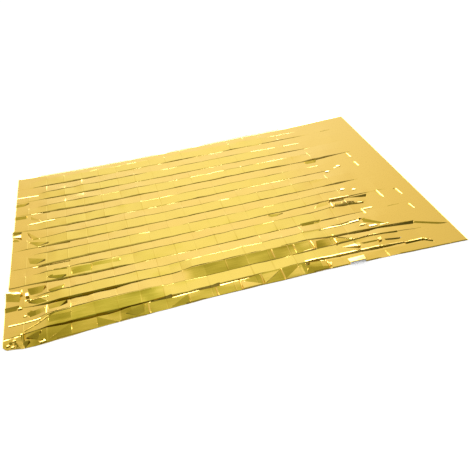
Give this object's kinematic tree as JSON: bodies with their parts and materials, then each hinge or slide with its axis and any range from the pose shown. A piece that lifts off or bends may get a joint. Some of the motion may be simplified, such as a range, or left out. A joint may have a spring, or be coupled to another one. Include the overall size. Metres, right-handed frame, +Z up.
{
  "type": "emergency foil blanket",
  "caption": "Thin gold foil rescue blanket spread flat on the ground, with lengthwise pleats and cross folds from its packet.",
  "frame": {"origin": "on the floor, under the middle of the sheet's box", "axes": "+X along the sheet's long side and its pleats, towards the end that lies flat; +Y across the pleats, towards the back edge; +Z up"},
  "size_m": [2.2156, 1.5839, 0.0187],
  "materials": {
    "gold_foil": "mirror-bright gold metallised film on top and silver below, with packet creases"
  },
  "bodies": {
    "root": {"foil_sheet": "gold_foil"}
  },
  "joints": []
}
